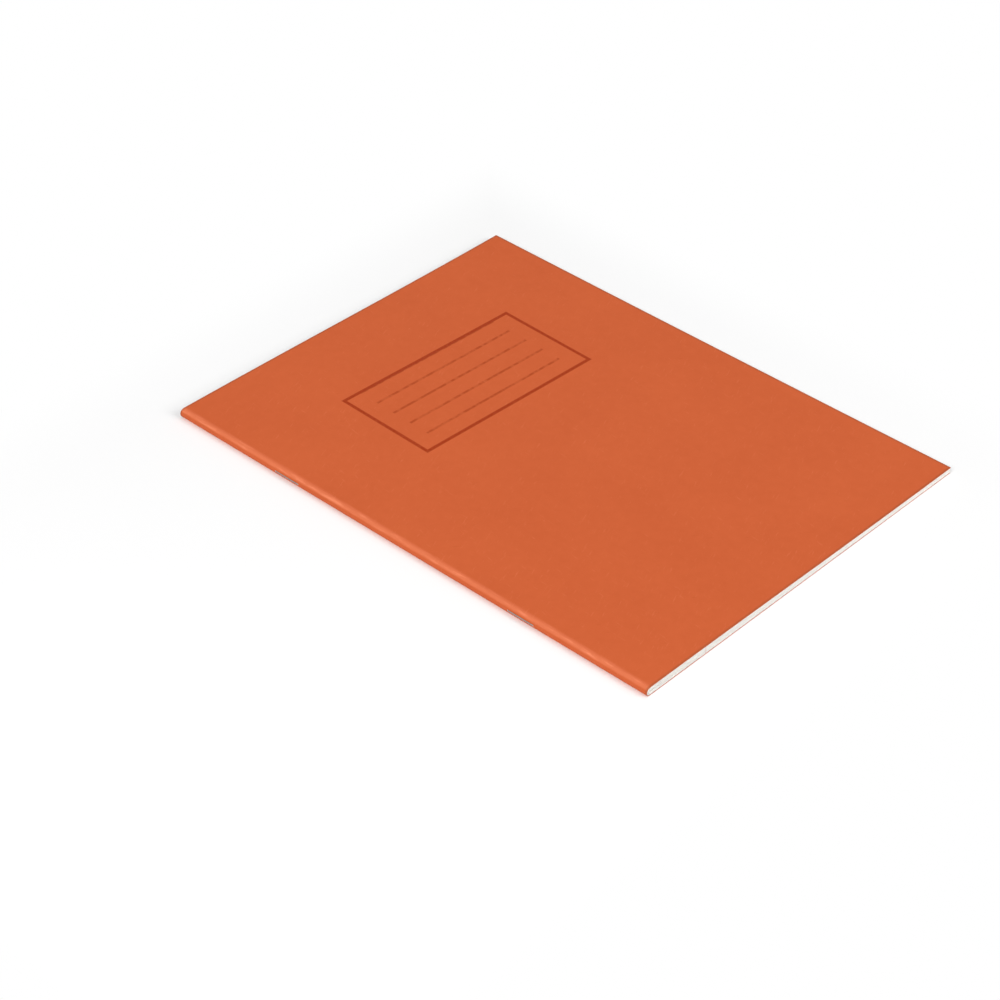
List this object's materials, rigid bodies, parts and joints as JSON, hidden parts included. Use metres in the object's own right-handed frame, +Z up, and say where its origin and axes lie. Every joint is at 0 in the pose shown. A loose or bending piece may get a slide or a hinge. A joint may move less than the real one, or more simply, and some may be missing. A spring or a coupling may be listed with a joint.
{
  "type": "exercise book",
  "caption": "Soft-cover school exercise book, closed: folded paper sheets in a folded card cover, stitched through the spine with wire staples; the cover and every leaf turn at the fold.",
  "frame": {"origin": "under the middle of the closed book, on the surface that it lies on", "axes": "+X from the spine to the fore-edge, +Y from the tail to the head, +Z up out of the front cover"},
  "size_m": [0.1782, 0.229, 0.0038],
  "materials": {
    "cover_card": "matte dyed card",
    "paper": "uncoated white paper",
    "staple_wire": "galvanised wire"
  },
  "bodies": {
    "back_cover": {"back_cover": "cover_card"},
    "leaf_24": {"leaf_24": "paper"},
    "leaf_23": {"leaf_23": "paper"},
    "leaf_22": {"leaf_22": "paper"},
    "leaf_21": {"leaf_21": "paper"},
    "leaf_20": {"leaf_20": "paper"},
    "leaf_19": {"leaf_19": "paper"},
    "leaf_18": {"leaf_18": "paper"},
    "leaf_17": {"leaf_17": "paper"},
    "leaf_16": {"leaf_16": "paper"},
    "leaf_15": {"leaf_15": "paper"},
    "leaf_14": {"leaf_14": "paper"},
    "leaf_13": {"leaf_13": "paper", "head_staple": "staple_wire", "tail_staple": "staple_wire"},
    "leaf_12": {"leaf_12": "paper"},
    "leaf_11": {"leaf_11": "paper"},
    "leaf_10": {"leaf_10": "paper"},
    "leaf_09": {"leaf_09": "paper"},
    "leaf_08": {"leaf_08": "paper"},
    "leaf_07": {"leaf_07": "paper"},
    "leaf_06": {"leaf_06": "paper"},
    "leaf_05": {"leaf_05": "paper"},
    "leaf_04": {"leaf_04": "paper"},
    "leaf_03": {"leaf_03": "paper"},
    "leaf_02": {"leaf_02": "paper"},
    "leaf_01": {"leaf_01": "paper"},
    "front_cover": {"front_cover": "cover_card"}
  },
  "joints": [
    {"name": "leaf_24_fold", "type": "hinge", "parent": "back_cover", "child": "leaf_24", "pos_m": [-0.08889, 0, 0.0019], "axis": [0, -1, 0], "range_deg": [0, 180]},
    {"name": "leaf_23_fold", "type": "hinge", "parent": "leaf_24", "child": "leaf_23", "pos_m": [-0.08889, 0, 0.0019], "axis": [0, -1, 0], "range_deg": [0, 180]},
    {"name": "leaf_22_fold", "type": "hinge", "parent": "leaf_23", "child": "leaf_22", "pos_m": [-0.08889, 0, 0.0019], "axis": [0, -1, 0], "range_deg": [0, 180]},
    {"name": "leaf_21_fold", "type": "hinge", "parent": "leaf_22", "child": "leaf_21", "pos_m": [-0.08889, 0, 0.0019], "axis": [0, -1, 0], "range_deg": [0, 180]},
    {"name": "leaf_20_fold", "type": "hinge", "parent": "leaf_21", "child": "leaf_20", "pos_m": [-0.08889, 0, 0.0019], "axis": [0, -1, 0], "range_deg": [0, 180]},
    {"name": "leaf_19_fold", "type": "hinge", "parent": "leaf_20", "child": "leaf_19", "pos_m": [-0.08889, 0, 0.0019], "axis": [0, -1, 0], "range_deg": [0, 180]},
    {"name": "leaf_18_fold", "type": "hinge", "parent": "leaf_19", "child": "leaf_18", "pos_m": [-0.08889, 0, 0.0019], "axis": [0, -1, 0], "range_deg": [0, 180]},
    {"name": "leaf_17_fold", "type": "hinge", "parent": "leaf_18", "child": "leaf_17", "pos_m": [-0.08889, 0, 0.0019], "axis": [0, -1, 0], "range_deg": [0, 180]},
    {"name": "leaf_16_fold", "type": "hinge", "parent": "leaf_17", "child": "leaf_16", "pos_m": [-0.08889, 0, 0.0019], "axis": [0, -1, 0], "range_deg": [0, 180]},
    {"name": "leaf_15_fold", "type": "hinge", "parent": "leaf_16", "child": "leaf_15", "pos_m": [-0.08889, 0, 0.0019], "axis": [0, -1, 0], "range_deg": [0, 180]},
    {"name": "leaf_14_fold", "type": "hinge", "parent": "leaf_15", "child": "leaf_14", "pos_m": [-0.08889, 0, 0.0019], "axis": [0, -1, 0], "range_deg": [0, 180]},
    {"name": "leaf_13_fold", "type": "hinge", "parent": "leaf_14", "child": "leaf_13", "pos_m": [-0.08889, 0, 0.0019], "axis": [0, -1, 0], "range_deg": [0, 180]},
    {"name": "leaf_12_fold", "type": "hinge", "parent": "leaf_13", "child": "leaf_12", "pos_m": [-0.08889, 0, 0.0019], "axis": [0, -1, 0], "range_deg": [0, 180]},
    {"name": "leaf_11_fold", "type": "hinge", "parent": "leaf_12", "child": "leaf_11", "pos_m": [-0.08889, 0, 0.0019], "axis": [0, -1, 0], "range_deg": [0, 180]},
    {"name": "leaf_10_fold", "type": "hinge", "parent": "leaf_11", "child": "leaf_10", "pos_m": [-0.08889, 0, 0.0019], "axis": [0, -1, 0], "range_deg": [0, 180]},
    {"name": "leaf_09_fold", "type": "hinge", "parent": "leaf_10", "child": "leaf_09", "pos_m": [-0.08889, 0, 0.0019], "axis": [0, -1, 0], "range_deg": [0, 180]},
    {"name": "leaf_08_fold", "type": "hinge", "parent": "leaf_09", "child": "leaf_08", "pos_m": [-0.08889, 0, 0.0019], "axis": [0, -1, 0], "range_deg": [0, 180]},
    {"name": "leaf_07_fold", "type": "hinge", "parent": "leaf_08", "child": "leaf_07", "pos_m": [-0.08889, 0, 0.0019], "axis": [0, -1, 0], "range_deg": [0, 180]},
    {"name": "leaf_06_fold", "type": "hinge", "parent": "leaf_07", "child": "leaf_06", "pos_m": [-0.08889, 0, 0.0019], "axis": [0, -1, 0], "range_deg": [0, 180]},
    {"name": "leaf_05_fold", "type": "hinge", "parent": "leaf_06", "child": "leaf_05", "pos_m": [-0.08889, 0, 0.0019], "axis": [0, -1, 0], "range_deg": [0, 180]},
    {"name": "leaf_04_fold", "type": "hinge", "parent": "leaf_05", "child": "leaf_04", "pos_m": [-0.08889, 0, 0.0019], "axis": [0, -1, 0], "range_deg": [0, 180]},
    {"name": "leaf_03_fold", "type": "hinge", "parent": "leaf_04", "child": "leaf_03", "pos_m": [-0.08889, 0, 0.0019], "axis": [0, -1, 0], "range_deg": [0, 180]},
    {"name": "leaf_02_fold", "type": "hinge", "parent": "leaf_03", "child": "leaf_02", "pos_m": [-0.08889, 0, 0.0019], "axis": [0, -1, 0], "range_deg": [0, 180]},
    {"name": "leaf_01_fold", "type": "hinge", "parent": "leaf_02", "child": "leaf_01", "pos_m": [-0.08889, 0, 0.0019], "axis": [0, -1, 0], "range_deg": [0, 180]},
    {"name": "front_cover_fold", "type": "hinge", "parent": "leaf_01", "child": "front_cover", "pos_m": [-0.08889, 0, 0.0019], "axis": [0, -1, 0], "range_deg": [0, 180]}
  ]
}
